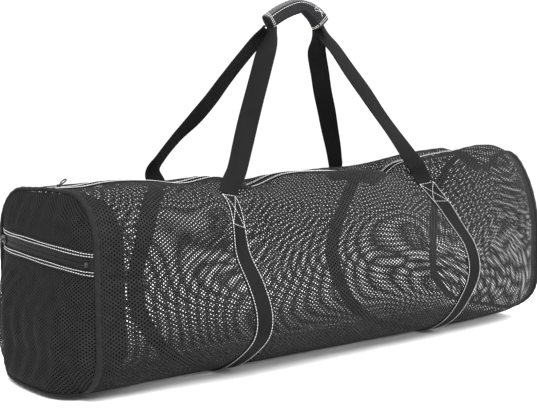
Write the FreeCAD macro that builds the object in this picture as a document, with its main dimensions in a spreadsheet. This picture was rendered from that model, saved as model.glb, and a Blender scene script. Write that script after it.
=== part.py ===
"""A long mesh ball bag, standing full, with its two handles held up by their shared grip.

Frame: +X along the bag, -Y its near side, +Z up. The origin is the middle of the footprint.
"""
import FreeCAD, Part
import math
import os
import re
import Sketcher

# Driving dimensions, in millimetres and degrees.
DIMENSIONS = {
    "bag_length": 1140,          # between the outer faces of the two end panels
    "bag_width": 390,            # across the mesh at its widest, without the webbing
    "end_width": 314,            # across the mesh at the two ends
    "bag_top": 332,              # highest mesh
    "bag_bottom": 2,             # lowest mesh, held off the floor by the webbing bands
    "floor_half": 85,            # half the flat bottom's width, at every section
    "shoulder_radius": 170,      # rounding between the sides and the top, along the middle
    "end_shoulder_radius": 65,   # the same at the two ends
    "full_length": 600,          # stretch along the middle that is at full width
    "cuff_length": 12,           # straight stretch at each end, under the seam binding
    "mesh_thickness": 2,
    "seam_gap": 0.2,             # between pieces that are sewn but modelled side by side
    "binding_width": 10,
    "binding_thickness": 1.6,
    "liner_depth": 78,           # how far the end pocket reaches into the bag
    "liner_thickness": 1.5,
    "liner_rise": 27,            # liner's top above the pocket zip
    "liner_corner": 20,
    "tape_edge": 19,             # zip tape's outer edge, from the zip's middle
    "tape_thickness": 1.2,
    "mesh_edge": 10.5,           # folded mesh edge beside the zip, from its middle
    "coil_gap": 0.7,             # half the slot between the two coils
    "coil_edge": 3.5,
    "coil_height": 2.4,
    "stitch_width": 0.9,
    "stitch_height": 0.5,
    "inner_row": 12,             # stitch rows beside a zip, from its middle
    "outer_row": 16.5,
    "main_zip_length": 1130,
    "tab_length": 10,
    "stop_length": 3,
    "main_slider_rest": 536,     # main slider's distance from the bag's middle, to the left
    "pocket_zip_height": 232,    # at the middle of the end
    "pocket_zip_slope": 4,       # how it falls towards the near side
    "pocket_zip_length": 307,
    "pocket_slider_rest": 135,   # pocket slider's distance from the bag's middle, to the far side
    "slider_length": 16,
    "slider_width": 13,
    "slider_plate": 1.5,
    "slider_gap": 0.4,
    "slider_flange": 1.4,
    "slider_blade": 0.6,
    "bail_width": 3.2,
    "bail_reach": 3,
    "bail_rise": 4.4,
    "bail_thickness": 1.2,
    "pull_axis_rise": 1.4,       # pull's axis above the slider's top plate
    "pull_bar_radius": 0.9,
    "pull_thickness": 1.6,
    "pull_neck": 5,
    "pull_arm_inner": 2.3,
    "pull_arm_outer": 3.6,
    "pull_ring_centre": 11.5,
    "pull_ring_radius": 6.6,
    "pull_ring_hole": 4.2,
    "main_pull_tilt": 50,        # pulls' lean from straight out of the zip
    "pocket_pull_tilt": 80,
    "webbing_width": 38,
    "webbing_thickness": 2,
    "strap_spacing": 536,        # between the two webbing bands
    "edge_row": 16.4,            # band's stitch rows, from its middle
    "box_top": 312,              # height at which the handle legs leave the bag
    "box_drop": 38,              # height of the stitched box
    "arch_radius": 105,          # grip's bend, at the middle of its webbing
    "arch_angle": 84,
    "arch_height": 660,
    "arch_shift": -12,
    "grip_half": 13,             # half the height of the folded webbing inside the grip
    "grip_core": 5,              # thickness of each folded webbing inside the grip
    "grip_wall": 1.8,
    "grip_gap": 0.4,
    "strip_thickness": 1.1,
    "lip_width": 9,
}

doc = FreeCAD.newDocument("mesh_ball_bag")
sheet = doc.addObject("Spreadsheet::Sheet", "Dimensions")
parts = {}


def fill_sheet():
    """One row per driving dimension: its name, and its value under an alias."""
    for row, (name, value) in enumerate(DIMENSIONS.items(), start=1):
        sheet.set(f"A{row}", name)
        sheet.set(f"B{row}", str(value))
        sheet.setAlias(f"B{row}", name)
    doc.recompute()


def bound(text):
    """The expression, with each dimension's name pointing at its cell."""
    def cell(word):
        return "Dimensions." + word.group() if word.group() in DIMENSIONS else word.group()
    return re.sub(r"[a-z_]+", cell, str(text))


def number(text):
    return float(sheet.evalExpression(bound(text)))


def bind(item, name, text):
    item.setExpression(name, bound(text))


def bind_place(item, x="0", y="0", z="0"):
    """Tie the three coordinates of an object's Placement to the sheet."""
    for axis, text in zip("xyz", (x, y, z)):
        bind(item, f"Placement.Base.{axis}", text)


def new_body(name):
    body = doc.addObject("PartDesign::Body", name)
    body.Label = name
    body.AllowCompound = True
    parts[name] = body
    return body


def new_sketch(body, role="YZ_Plane", offset="0"):
    """A sketch on one of the body's own planes, or at an offset along that plane's normal."""
    sketch = body.newObject("Sketcher::SketchObject", body.Name + "_sketch")
    support = [plane for plane in body.Origin.OriginFeatures if plane.Role == role][0]
    sketch.AttachmentSupport = [(support, "")]
    sketch.MapMode = "FlatFace"
    bind(sketch, "AttachmentOffset.Base.z", offset)
    return sketch


def outline(sketch, corners):
    """A closed outline, anticlockwise. Each corner is (x, y) or (x, y, radius), in expressions."""
    count = len(corners)
    places = [FreeCAD.Vector(number(c[0]), number(c[1]), 0) for c in corners]
    radii = [number(c[2]) if len(c) > 2 else 0 for c in corners]
    starts, ends = [], []
    for i, place in enumerate(places):
        back = (places[i - 1] - place).normalize()
        ahead = (places[(i + 1) % count] - place).normalize()
        reach = radii[i] / math.tan(back.getAngle(ahead) / 2)
        ends.append(place + back * reach)
        starts.append(place + ahead * reach)
    first = sketch.GeometryCount
    for i in range(count):
        sketch.addGeometry(Part.LineSegment(starts[i], ends[(i + 1) % count]), False)
    for i, corner in enumerate(corners):
        line_in = first + (i - 1) % count
        line_out = first + i
        mark = sketch.addGeometry(Part.Point(places[i]), True)
        pin(sketch, mark, corner)
        if radii[i]:
            arc = sketch.addGeometry(corner_arc(ends[i], places[i], starts[i], radii[i]), False)
            sketch.addConstraint(Sketcher.Constraint("PointOnObject", mark, 1, line_in))
            sketch.addConstraint(Sketcher.Constraint("PointOnObject", mark, 1, line_out))
            sketch.addConstraint(Sketcher.Constraint("Tangent", line_in, 2, arc, 1))
            sketch.addConstraint(Sketcher.Constraint("Tangent", arc, 2, line_out, 1))
            datum = sketch.addConstraint(Sketcher.Constraint("Radius", arc, radii[i]))
            bind(sketch, f"Constraints[{datum}]", corner[2])
        else:
            sketch.addConstraint(Sketcher.Constraint("Coincident", line_in, 2, mark, 1))
            sketch.addConstraint(Sketcher.Constraint("Coincident", line_out, 1, mark, 1))


def corner_arc(end, place, start, radius):
    """The arc that rounds a left-turning corner, from the line that ends to the one that starts."""
    inward = (end - place) + (start - place)
    centre = place + inward.normalize() * math.hypot(radius, (end - place).Length)
    angles = [math.atan2(p.y - centre.y, p.x - centre.x) for p in (end, start)]
    circle = Part.Circle(centre, FreeCAD.Vector(0, 0, 1), radius)
    return Part.ArcOfCircle(circle, angles[0], angles[1])


def pin(sketch, mark, corner):
    """Hold a point at its two coordinates, which the sheet drives."""
    for kind, text in zip(("DistanceX", "DistanceY"), corner):
        datum = sketch.addConstraint(Sketcher.Constraint(kind, -1, 1, mark, 1, number(text)))
        bind(sketch, f"Constraints[{datum}]", text)


def rectangle(sketch, x_low, x_high, y_low, y_high):
    outline(sketch, [(x_low, y_low), (x_high, y_low), (x_high, y_high), (x_low, y_high)])


def circle(sketch, y, radius):
    """A full circle on the sketch's vertical axis."""
    shape = Part.Circle(FreeCAD.Vector(0, number(y), 0), FreeCAD.Vector(0, 0, 1), number(radius))
    ring = sketch.addGeometry(shape, False)
    sketch.addConstraint(Sketcher.Constraint("PointOnObject", ring, 3, -2))
    height = sketch.addConstraint(Sketcher.Constraint("DistanceY", -1, 1, ring, 3, number(y)))
    bind(sketch, f"Constraints[{height}]", y)
    size = sketch.addConstraint(Sketcher.Constraint("Radius", ring, number(radius)))
    bind(sketch, f"Constraints[{size}]", radius)


def pad(body, sketch, length, middle=True):
    """Extrude a sketch to both sides of its plane, or only along its normal."""
    feature = body.newObject("PartDesign::Pad", body.Name + "_pad")
    feature.Profile = sketch
    bind(feature, "Length", length)
    feature.SideType = "Symmetric" if middle else "One side"
    doc.recompute()


def pocket(body, sketch, depth=None):
    """Cut a sketch right through the body, or to a depth along the sketch's normal."""
    before = body.Shape.Volume
    feature = body.newObject("PartDesign::Pocket", body.Name + "_pocket")
    feature.Profile = sketch
    if depth is None:
        feature.Type = "ThroughAll"
        feature.SideType = "Symmetric"
    else:
        feature.Reversed = True
        bind(feature, "Length", depth)
    doc.recompute()
    if body.Shape.Volume > before - 1:
        raise ValueError(f"{body.Name}: a pocket cuts nothing")


def cut_away(body, corners, role="YZ_Plane"):
    """Cut everything inside an outline out of the body, on both sides of the plane."""
    sketch = new_sketch(body, role)
    outline(sketch, corners)
    pocket(body, sketch)


def section(grow="0", place="full"):
    """The bag's cross-section in Y and Z, grown outwards, along the middle or at an end."""
    width, shoulder = {"full": ("bag_width", "shoulder_radius"),
                       "end": ("end_width", "end_shoulder_radius")}[place]
    side = f"({width} / 2 + {grow})"
    low, high = f"bag_bottom - ({grow})", f"bag_top + {grow}"
    foot = f"{width} / 2 - floor_half + {grow}"
    return [("-" + side, low, foot), (side, low, foot),
            (side, high, f"{shoulder} + {grow}"), ("-" + side, high, f"{shoulder} + {grow}")]


def box_corners(x_low, x_high, y_low, y_high):
    return [(x_low, y_low), (x_high, y_low), (x_high, y_high), (x_low, y_high)]


CLEAR = "bag_width"                                  # well outside the section
BELOW, ABOVE = f"-{CLEAR}", f"bag_top + {CLEAR}"
TUBE = "(bag_length - 2 * mesh_thickness)"           # the mesh between the two end panels


def loft(body, kind, grow):
    """The bag's tapering shape, grown outwards: added to the body or taken out of it."""
    cuff = f"({TUBE} / 2 - cuff_length)"
    stations = [(f"-{TUBE} / 2", "end"), (f"-{cuff}", "end"), ("-full_length / 2", "full"),
                ("full_length / 2", "full"), (cuff, "end"), (f"{TUBE} / 2", "end")]
    sketches = []
    for offset, place in stations:
        sketches.append(new_sketch(body, offset=offset))
        outline(sketches[-1], section(grow, place))
    feature = body.newObject(f"PartDesign::{kind}Loft", body.Name + "_loft")
    feature.Profile = sketches[0]
    feature.Sections = sketches[1:]
    feature.Ruled = True
    doc.recompute()


def hoop(name, length, inner, outer, place="full", low=BELOW, high=ABOVE):
    """A ring that follows the cross-section, between two offsets from the mesh's outer face."""
    body = new_body(name)
    sketch = new_sketch(body)
    outline(sketch, section(outer, place))
    pad(body, sketch, length)
    cut_away(body, section(inner, place))
    trim(body, low, high)
    return body


def trim(body, low, high, slope="0"):
    """Keep only what lies between two heights, which climb along +Y by a slope in degrees."""
    climb = f"{CLEAR} * tan({slope})"
    if low != BELOW:
        cut_away(body, [(BELOW, BELOW), (CLEAR, BELOW), (CLEAR, f"{low} + {climb}"),
                        (BELOW, f"{low} - {climb}")])
    if high != ABOVE:
        cut_away(body, [(BELOW, f"{high} - {climb}"), (CLEAR, f"{high} + {climb}"),
                        (CLEAR, ABOVE), (BELOW, ABOVE)])


def side_panel(name, side):
    """A mesh side: from the zip, over the shoulder and down to the bottom seam."""
    body = new_body(name)
    loft(body, "Additive", "0")
    loft(body, "Subtractive", "-mesh_thickness")
    edge, seam, out = (f"{side} * {reach}" for reach in ("mesh_edge", "floor_half", CLEAR))
    low = "bag_bottom + mesh_thickness + 1"
    corners = [(edge, ABOVE), (edge, low), (seam, low), (seam, BELOW),
               (f"-({out})", BELOW), (f"-({out})", ABOVE)]
    cut_away(body, corners if side < 0 else corners[::-1])


def bottom_panel():
    body = new_body("bottom_mesh_panel")
    sketch = new_sketch(body)
    rectangle(sketch, "seam_gap - floor_half", "floor_half - seam_gap",
              "bag_bottom", "bag_bottom + mesh_thickness")
    pad(body, sketch, TUBE)


def end_panel(name, side, low=BELOW, high=ABOVE):
    """A flat end of the bag, above or below the pocket zip, or whole."""
    body = new_body(name)
    sketch = new_sketch(body)
    outline(sketch, section(place="end"))
    pad(body, sketch, "mesh_thickness")
    trim(body, low, high, "pocket_zip_slope")
    bind_place(body, x=f"{side} * (bag_length - mesh_thickness) / 2")


def liner_section(inset):
    """The liner's outline: the bag's own up to a flat top that lies above the pocket zip."""
    side = f"(end_width / 2 - mesh_thickness - seam_gap - {inset})"
    low = f"bag_bottom + mesh_thickness + seam_gap + {inset}"
    high = f"pocket_zip_height + liner_rise - {inset}"
    low_radius = f"{side} - floor_half"
    high_radius = f"liner_corner - {inset}"
    return [("-" + side, low, low_radius), (side, low, low_radius),
            (side, high, high_radius), ("-" + side, high, high_radius)]


def pocket_liner():
    """The inner wall of the end pocket: a soft tray sewn in at the end seam."""
    body = new_body("pocket_liner")
    sketch = new_sketch(body)
    outline(sketch, liner_section("0"))
    pad(body, sketch, "liner_depth", middle=False)
    hollow = new_sketch(body)
    outline(hollow, liner_section("liner_thickness"))
    pocket(body, hollow, "liner_depth - liner_thickness")
    bind_place(body, x="mesh_thickness + tape_thickness + seam_gap - bag_length / 2")


def binding(name, side):
    """The bound seam that runs round an end of the bag."""
    body = hoop(name, "binding_width", "0", "binding_thickness", "end")
    bind_place(body, x=f"{side} * (bag_length - binding_width) / 2")


def strip_row(name, length, bands, low, high):
    """Straight strips along local X: each band is a range across local Y."""
    body = new_body(name)
    sketch = new_sketch(body)
    for near, far in bands:
        rectangle(sketch, near, far, low, high)
    pad(body, sketch, length)
    return body


def stitch_bands():
    """The two stitch rows on each side of a zip."""
    rows = [f"{side} * {row}" for side in (-1, 1) for row in ("inner_row", "outer_row")]
    return [(f"{row} - stitch_width / 2", f"{row} + stitch_width / 2") for row in rows]


def place_zip(body, which, along="0", rise="0", tilt="0"):
    """Lay a piece, built about a zip's own axes, on the top of the bag or on its left end.

    Local X runs along the zip and local Z out of the bag, from the outer face of the mesh.
    The piece is raised along local Z and tilted about its own local Y, towards local X.
    """
    lean = FreeCAD.Rotation(FreeCAD.Vector(0, 1, 0), number(tilt))
    if which == "main":
        body.Placement.Rotation = lean
        bind_place(body, x=along, z=f"bag_top + {rise}")
        return
    turn = FreeCAD.Matrix(0, 0, -1, 0,
                          -1, 0, 0, 0,
                          0, 1, 0, 0,
                          0, 0, 0, 1)
    fall = "pocket_zip_slope"
    slope = FreeCAD.Rotation(FreeCAD.Vector(1, 0, 0), number(fall))
    body.Placement.Rotation = slope * FreeCAD.Placement(turn).Rotation * lean
    bind_place(body, x=f"-bag_length / 2 - ({rise})", y=f"-({along}) * cos({fall})",
               z=f"pocket_zip_height - ({along}) * sin({fall})")


def zip_half(which, side, sign):
    """One side's tape and coil."""
    edges = {reach: f"{sign} * {reach}" for reach in ("coil_gap", "tape_edge", "coil_edge")}
    tape = [edges["coil_gap"], edges["tape_edge"]][::sign]
    coil = [edges["coil_gap"], edges["coil_edge"]][::sign]
    length = f"{which}_zip_length"
    place_zip(strip_row(f"{which}_zip_tape_{side}", length, [tape],
                        "-mesh_thickness - tape_thickness", "-mesh_thickness"), which)
    place_zip(strip_row(f"{which}_zip_coil_{side}", f"{length} - 2 * tab_length", [coil],
                        "-mesh_thickness", "coil_height - mesh_thickness"), which)


def zip_ends(which):
    """The stops that end the coils, and the folded fabric tabs that cover the tape's ends."""
    stop = "stop_length / 2 + seam_gap"
    for sign, end in zip((-1, 1), ("start", "end")):
        piece = strip_row(f"{which}_zip_{end}_stop", "stop_length", [("-coil_edge", "coil_edge")],
                          "-mesh_thickness", "coil_height")
        place_zip(piece, which, f"{sign} * ({which}_zip_length / 2 - tab_length + {stop})")
        tab = "tab_length - stop_length - 2 * seam_gap"
        piece = strip_row(f"{which}_zip_{end}_tab", tab, [("seam_gap - mesh_edge",
                          "mesh_edge - seam_gap")], "-mesh_thickness", "0")
        place_zip(piece, which, f"{sign} * ({which}_zip_length - ({tab})) / 2")


PLATE_LOW = "coil_height - mesh_thickness + slider_gap"            # underside of the top plate
PLATE_TOP = f"({PLATE_LOW} + slider_plate)"
PULL_AXIS = f"({PLATE_TOP} + pull_axis_rise)"


def slider_profile():
    """The slider across the zip: two plates joined by a blade, and flanges beside the coils."""
    side, blade = "slider_width / 2", "slider_blade / 2"
    tape_low = "-mesh_thickness - tape_thickness - slider_gap"
    flange = f"{side} - slider_flange"
    flange_low = "slider_gap - mesh_thickness"
    right = [(side, f"{tape_low} - slider_plate"), (side, tape_low), (blade, tape_low),
             (blade, PLATE_LOW), (flange, PLATE_LOW), (flange, flange_low), (side, flange_low),
             (side, PLATE_TOP)]
    return right + [(f"-({x})", y) for x, y in reversed(right)]


def zip_slider(which, along):
    """A slider that straddles both coils, with a bail over its top for the pull."""
    body = new_body(f"{which}_zip_slider")
    sketch = new_sketch(body)
    outline(sketch, slider_profile())
    pad(body, sketch, "slider_length")
    bail = new_sketch(body, "XZ_Plane")
    foot, crown = f"{PLATE_TOP} - slider_plate / 2", f"{PLATE_TOP} + bail_rise"
    inner, under = "bail_reach - bail_thickness", f"{crown} - bail_thickness"
    outline(bail, [("-bail_reach", foot), (f"-({inner})", foot), (f"-({inner})", under),
                   (inner, under), (inner, foot), ("bail_reach", foot), ("bail_reach", crown),
                   ("-bail_reach", crown)])
    pad(body, bail, "bail_width")
    place_zip(body, which, along)


def zip_pull(which, along):
    """The pull, built about its own hinge: a round bar, two arms and a ring to hold."""
    body = new_body(f"{which}_zip_pull")
    arms = new_sketch(body)
    reach = "pull_neck + pull_thickness"
    outline(arms, [("-pull_arm_outer", "0"), ("-pull_arm_inner", "0"),
                   ("-pull_arm_inner", "pull_neck"), ("pull_arm_inner", "pull_neck"),
                   ("pull_arm_inner", "0"), ("pull_arm_outer", "0"),
                   ("pull_arm_outer", reach), ("-pull_arm_outer", reach)])
    pad(body, arms, "pull_thickness")
    ring = new_sketch(body)
    for radius in ("pull_ring_radius", "pull_ring_hole"):
        circle(ring, "pull_ring_centre", radius)
    pad(body, ring, "pull_thickness")
    bar = new_sketch(body, "XZ_Plane")
    circle(bar, "0", "pull_bar_radius")
    pad(body, bar, "2 * pull_arm_outer")
    place_zip(body, which, along, PULL_AXIS, f"{which}_pull_tilt")


def band_stitches(name, x):
    """The two stitch rows along a band's edges, where it climbs the sides of the bag."""
    body = hoop(name, "2 * edge_row + stitch_width", "webbing_thickness",
                "webbing_thickness + stitch_height", low="bag_width / 2 - floor_half",
                high="box_top - box_drop - stitch_width")
    gap = "(edge_row - stitch_width / 2)"
    cut_away(body, box_corners(f"-{gap}", gap, BELOW, CLEAR), "XY_Plane")
    bind_place(body, x=x)


def box_stitches(name, x):
    """A stitched box with a cross in it at the top of a band, on both sides of the bag."""
    body = hoop(name, "2 * edge_row + stitch_width", "webbing_thickness",
                "webbing_thickness + stitch_height", low="box_top - box_drop",
                high="box_top - seam_gap")
    side, centre = "(edge_row - stitch_width / 2)", "(box_top - box_drop / 2)"
    high, low = "(box_top - 2 * stitch_width)", "(box_top - box_drop + stitch_width)"
    near, step = f"({side} - 1.4 * stitch_width)", "1.8 * stitch_width"
    windows = [[(f"-{near}", high), ("0", f"{centre} + {step}"), (near, high)],
               [(f"-{near}", low), (near, low), ("0", f"{centre} - {step}")],
               [(side, f"{low} + {step}"), (side, f"{high} - {step}"), ("stitch_width", centre)],
               [(f"-{side}", f"{high} - {step}"), (f"-{side}", f"{low} + {step}"),
                ("-stitch_width", centre)]]
    for corners in windows:
        cut_away(body, corners, "XZ_Plane")
    bind_place(body, x=x)


def webbing_band(name, x):
    """Webbing sewn round the bag, from one handle leg down, under the bag and up to the other."""
    body = hoop(name, "webbing_width", "0", "webbing_thickness", high="box_top")
    bind_place(body, x=x)


def ruled(name, low, high):
    """A strip between two four-cornered sections."""
    wires = [Part.makePolygon(list(corners) + [corners[0]]) for corners in (low, high)]
    item = doc.addObject("Part::Feature", name)
    item.Shape = Part.makeLoft(wires, True, True)
    item.Label = name
    parts[name] = item


def shoulder(grow):
    """How far out the shoulder lies, grown outwards, at the height where the legs start."""
    radius = number(f"shoulder_radius + {grow}")
    rise = number("box_top - bag_top + shoulder_radius")
    return number("bag_width / 2 - shoulder_radius") + math.sqrt(radius ** 2 - rise ** 2)


def handle_leg(name, side_x, side_y):
    """The free webbing from a band up to an end of the grip."""
    x, half = number(f"{side_x} * strap_spacing / 2"), number("webbing_width / 2")
    inner, outer = shoulder("0"), shoulder("webbing_thickness")
    low = [(x - half, inner), (x + half, inner), (x + half, outer), (x - half, outer)]
    low = [FreeCAD.Vector(px, side_y * py, number("box_top")) for px, py in low]
    angle = math.radians(number("arch_angle / 2")) * side_x
    radial = FreeCAD.Vector(math.sin(angle), 0, math.cos(angle))
    onward = FreeCAD.Vector(math.cos(angle), 0, -math.sin(angle)) * side_x
    centre = FreeCAD.Vector(number("arch_shift"), 0, number("arch_height - arch_radius"))
    end = centre + radial * number("arch_radius") + onward * number("2 * grip_gap")
    across = radial * number("grip_half") * side_x
    near, far = (FreeCAD.Vector(0, side_y * number(text), 0)
                 for text in ("grip_gap", "grip_gap + webbing_thickness"))
    high = [end - across + near, end + across + near, end + across + far, end - across + far]
    ruled(name, low, high)


def arch(name, corners):
    """A piece of the grip: its section, in Y and in distance from the arch's centre, turned."""
    body = new_body(name)
    sketch = new_sketch(body)
    outline(sketch, corners)
    turn = body.newObject("PartDesign::Revolution", name + "_turn")
    turn.Profile = sketch
    turn.ReferenceAxis = (sketch, ["H_Axis"])
    bind(turn, "Angle", "arch_angle")
    turn.Midplane = True
    bind_place(body, x="arch_shift", z="arch_height - arch_radius")


DEPTH = "(grip_core + 1.5 * grip_gap)"               # inside of the sleeve, from its middle
FLOOR = "(arch_radius - grip_half - grip_gap)"
ROOF = "(arch_radius + grip_half + grip_gap)"
STRIP = f"({ROOF} + grip_wall)"                      # where the loop strip lies
FRONT = f"(-{DEPTH} - grip_gap)"                     # inside of the flap
LID = f"({STRIP} + 2 * strip_thickness)"             # underside of the flap's lip


def grip():
    """Both handles' folded webbing, inside one sleeve that a hook-and-loop flap closes."""
    low, high = "arch_radius - grip_half", "arch_radius + grip_half"
    near, far = "grip_gap / 2", "grip_gap / 2 + grip_core"
    arch("near_grip_webbing", box_corners(f"-({far})", f"-({near})", low, high))
    arch("far_grip_webbing", box_corners(near, far, low, high))
    back = f"({DEPTH} + grip_wall)"
    arch("grip_cover", [(f"-{DEPTH}", f"{FLOOR} - grip_wall"), (back, f"{FLOOR} - grip_wall"),
                        (back, STRIP), (f"-{DEPTH}", STRIP), (f"-{DEPTH}", ROOF), (DEPTH, ROOF),
                        (DEPTH, FLOOR), (f"-{DEPTH}", FLOOR)])
    arch("grip_loop_strip", box_corners(f"-{DEPTH}", DEPTH, STRIP, f"{STRIP} + strip_thickness"))
    arch("grip_hook_strip", box_corners(f"-{DEPTH}", f"{FRONT} + lip_width",
                                        f"{STRIP} + strip_thickness", LID))
    face = f"{FRONT} - grip_wall"
    arch("grip_flap", [(face, f"{FLOOR} - grip_wall"), (FRONT, f"{FLOOR} - grip_wall"),
                       (FRONT, LID), (f"{FRONT} + lip_width", LID),
                       (f"{FRONT} + lip_width", f"{LID} + grip_wall"),
                       (face, f"{LID} + grip_wall")])


def grip_stitches():
    """Two rows across each end of the flap, and one long row along its lip."""
    face, lip = number(f"{FRONT} - grip_wall"), number(f"{FRONT} + lip_width")
    width, height = number("stitch_width"), number("stitch_height")
    foot, crown = number(f"{FLOOR} - grip_wall + stitch_width"), number(f"{LID} + grip_wall")
    span = number("arch_angle")
    turn = math.degrees(width / number("arch_radius"))
    rows = [(face - height, face, foot, crown - width, side * (span / 2 - place * turn), turn)
            for side in (-1, 1) for place in (2, 5)]
    rows.append((lip - 2 * width, lip - width, crown, crown + height, 0, span - 14 * turn))
    item = doc.addObject("Part::Feature", "grip_stitches")
    item.Shape = Part.makeCompound([arc_row(*row) for row in rows])
    item.Label = "grip_stitches"
    bind_place(item, x="arch_shift", z="arch_height - arch_radius")
    parts["grip_stitches"] = item


def arc_row(y_low, y_high, r_low, r_high, middle, sweep):
    """A stretch of ring about the arch's centre: its section, its middle angle and its sweep."""
    origin, axis = FreeCAD.Vector(), FreeCAD.Vector(0, 1, 0)
    ring = [(y_low, r_low), (y_high, r_low), (y_high, r_high), (y_low, r_high), (y_low, r_low)]
    face = Part.Face(Part.makePolygon([FreeCAD.Vector(0, y, z) for y, z in ring]))
    face.rotate(origin, axis, middle - sweep / 2)
    return face.revolve(origin, axis, sweep)


def build():
    fill_sheet()
    side_panel("front_mesh_panel", -1)
    side_panel("back_mesh_panel", 1)
    bottom_panel()
    end_panel("left_end_panel", -1, low="pocket_zip_height + mesh_edge / cos(pocket_zip_slope)")
    end_panel("left_pocket_panel", -1, high="pocket_zip_height - mesh_edge / cos(pocket_zip_slope)")
    end_panel("right_end_panel", 1)
    pocket_liner()
    binding("left_seam_binding", -1)
    binding("right_seam_binding", 1)
    for which, sides in (("main", ("front", "back")), ("pocket", ("lower", "upper"))):
        for sign, side in zip((-1, 1), sides):
            zip_half(which, side, sign)
        zip_ends(which)
        stitches = strip_row(f"{which}_zip_stitches", f"{which}_zip_length - 2 * binding_width",
                             stitch_bands(), "0", "stitch_height")
        place_zip(stitches, which)
        along = f"-{which}_slider_rest"
        zip_slider(which, along)
        zip_pull(which, along)
    for side, sign in (("left", -1), ("right", 1)):
        x = f"{sign} * strap_spacing / 2"
        webbing_band(f"{side}_webbing_band", x)
        band_stitches(f"{side}_band_stitches", x)
        box_stitches(f"{side}_box_stitches", x)
        handle_leg(f"near_{side}_leg", sign, -1)
        handle_leg(f"far_{side}_leg", sign, 1)
    grip()
    grip_stitches()


def check():
    """Stop before anything is written if the document or a piece is unsound."""
    doc.recompute()
    for item in doc.Objects:
        if {"Invalid", "Error"} & set(item.State):
            raise ValueError(f"{item.Name}: {item.State}")
    for name, item in parts.items():
        if item.Shape.isNull() or not item.Shape.isValid() or item.Shape.Volume <= 0:
            raise ValueError(f"{name}: unsound shape")


def write():
    os.makedirs("parts", exist_ok=True)
    for name, item in parts.items():
        item.Shape.exportStep(f"parts/{name}.step")
        print(f"{name}: {item.Shape.Volume / 1000:.2f} cm3, {len(item.Shape.Solids)} solids")


build()
check()
write()
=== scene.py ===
"""The looks of a long mesh ball bag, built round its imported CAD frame.

Frame, in metres: +X along the bag, -Y its near side, +Z up. Most of the sewn shell is laid out on
one surface, skin(x, s): x runs along the bag, and s round it, from the zip down to the middle of
the bottom, negative on the near side.
"""
import math
import bpy
import numpy as np
from mathutils import Matrix, Vector

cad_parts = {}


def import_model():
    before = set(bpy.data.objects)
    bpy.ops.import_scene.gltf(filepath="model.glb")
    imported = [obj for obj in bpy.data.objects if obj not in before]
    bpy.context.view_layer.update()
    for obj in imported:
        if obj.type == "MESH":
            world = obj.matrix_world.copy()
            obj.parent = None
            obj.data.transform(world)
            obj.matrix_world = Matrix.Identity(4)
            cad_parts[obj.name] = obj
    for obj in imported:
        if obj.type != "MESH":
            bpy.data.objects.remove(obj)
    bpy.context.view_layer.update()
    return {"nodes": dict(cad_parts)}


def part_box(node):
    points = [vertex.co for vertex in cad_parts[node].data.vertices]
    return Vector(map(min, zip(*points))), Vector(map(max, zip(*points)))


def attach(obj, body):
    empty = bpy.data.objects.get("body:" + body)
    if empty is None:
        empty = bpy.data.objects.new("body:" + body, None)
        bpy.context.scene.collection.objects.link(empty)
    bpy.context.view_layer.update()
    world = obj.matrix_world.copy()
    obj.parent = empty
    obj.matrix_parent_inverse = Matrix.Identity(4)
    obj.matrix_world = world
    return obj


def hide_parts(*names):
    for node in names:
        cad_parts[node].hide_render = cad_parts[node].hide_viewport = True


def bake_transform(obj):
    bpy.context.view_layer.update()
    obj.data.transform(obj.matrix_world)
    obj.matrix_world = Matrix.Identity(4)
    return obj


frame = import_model()

MM = 0.001
SIDE_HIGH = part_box("back_mesh_panel")[1]
BAND_LOW, BAND_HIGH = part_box("right_webbing_band")
POCKET_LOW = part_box("pocket_zip_coil_lower")[0]
POCKET_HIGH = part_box("pocket_zip_coil_upper")[1]
BOTTOM_LOW, BOTTOM_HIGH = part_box("bottom_mesh_panel")
LINER_LOW, LINER_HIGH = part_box("pocket_liner")

HALF_LENGTH = SIDE_HIGH.x - 10 * MM    # the end seams: beyond them the two ends bulge out
TOP = SIDE_HIGH.z
BOTTOM = BOTTOM_LOW.z
WIDE = SIDE_HIGH.y                     # half the width along the middle
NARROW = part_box("right_end_panel")[1].y        # half the width at the ends
TAPER = 0.27                           # length over which the bag narrows towards an end
END_ZONE = 0.36                        # from here to the end seam the section changes
FLOOR_HALF = BOTTOM_HIGH.y             # half the bottom panel's width
REST_HALF = FLOOR_HALF - 0.037         # half the width that rests on the floor
BAND_X = (BAND_LOW.x + BAND_HIGH.x) / 2
BAND_HALF = (BAND_HIGH.x - BAND_LOW.x) / 2
BAND_TOP = BAND_HIGH.z                 # height at which the handle legs leave the bag
POCKET_Z = (POCKET_LOW.z + POCKET_HIGH.z) / 2
POCKET_FALL = math.tan(math.radians(4))        # the pocket zip's fall towards the near side
POCKET_STOP = 0.135                    # where its slider stops, on both sides of the middle
HALF_ROUND = 0.6                       # nominal half of the way round the bag
WIDE_SHOULDER, LEFT_SHOULDER, RIGHT_SHOULDER = 0.170, 0.085, 0.138     # radii
LEFT_REST, RIGHT_REST = 0.030, 0.006   # how much wider the bag rests on the floor at its ends

STITCH_PITCH, STITCH_LENGTH, STITCH_RADIUS = 5.2 * MM, 4.3 * MM, 0.55 * MM
SIDE_CELL = (9.2 * MM, 3.4 * MM)       # knitted mesh: pitch of its holes, and of its rows
END_CELL = (7.4 * MM, 2.9 * MM)        # the end panels' finer mesh
HOLE = 0.47                            # the share of a cell that is open, each way
INNER_ROW, OUTER_ROW = 12 * MM, 16.5 * MM      # stitch rows, from a zip's middle
FOOT_BULGE = 0.034                     # how far the left end's lower edge stands out
FAR_SPREAD = 0.012                     # how much wider the left end's far half is
DOME_RUN = 0.11                        # from the end seam to where the dome is full
LEFT_BOX, RIGHT_BOX = 0.064, 0.037     # lengths of the stitched boxes
STITCH_EDGE = BAND_HALF - 2.6 * MM     # from a band's middle to its stitches
BAND_LIFT = 1.5 * MM


# ---- small maths

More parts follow.
